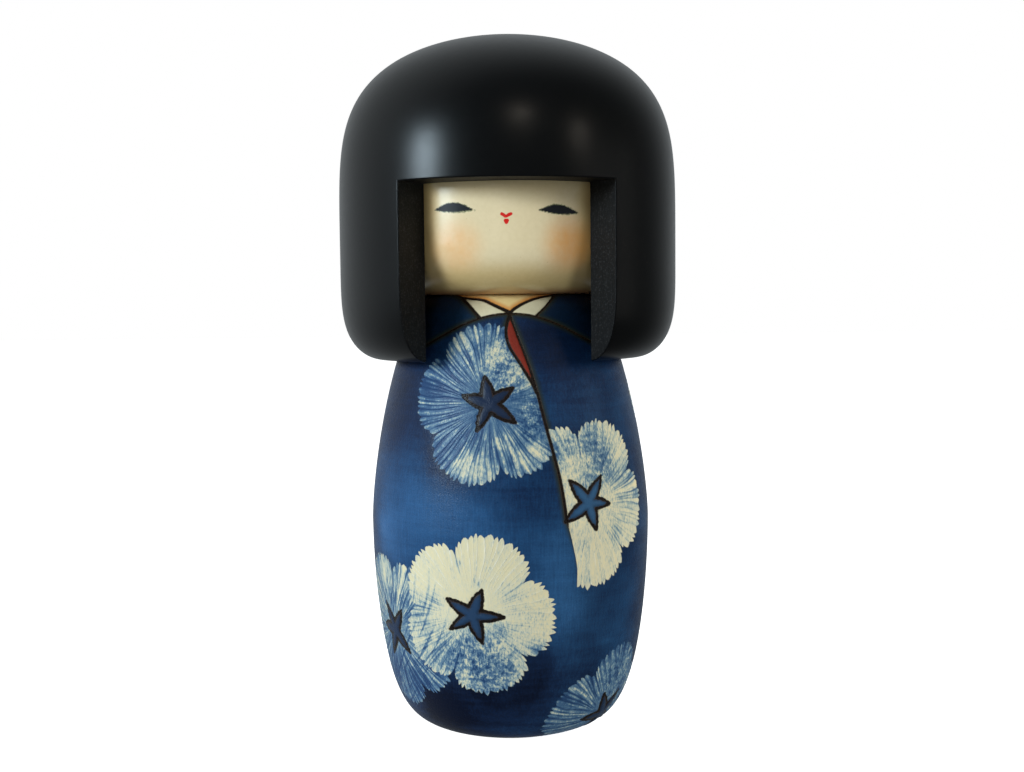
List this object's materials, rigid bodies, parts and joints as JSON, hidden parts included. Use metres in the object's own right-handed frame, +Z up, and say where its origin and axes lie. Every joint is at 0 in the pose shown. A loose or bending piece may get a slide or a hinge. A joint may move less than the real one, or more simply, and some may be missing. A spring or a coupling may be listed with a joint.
{
  "type": "kokeshi doll",
  "caption": "Turned wooden doll: barrel body painted as a flowered kimono, drum head that turns on a neck dowel, and a thick hollow bobbed hair cap with a face window.",
  "frame": {"origin": "on the turning axis at the foot, the plane the doll stands on", "axes": "+Z up along the turning axis; the face looks along -Y; the doll's left hand side is +X"},
  "size_m": [0.0936, 0.0935, 0.19],
  "materials": {
    "kimono_wood": "indigo stain and paint with burnt outlines, gloss varnish",
    "face_wood": "ivory paint, gloss varnish",
    "hair_wood": "black lacquer, semi-gloss",
    "dowel_wood": "plain sanded beech"
  },
  "bodies": {
    "torso": {"body": "kimono_wood"},
    "head_group": {"head": "face_wood", "hair_cap": "hair_wood", "neck_dowel": "dowel_wood"}
  },
  "joints": [
    {"name": "head_turn", "type": "hinge", "parent": "torso", "child": "head_group", "pos_m": [0, 0, 0.1193], "axis": [0, 0, 1], "continuous": true}
  ]
}
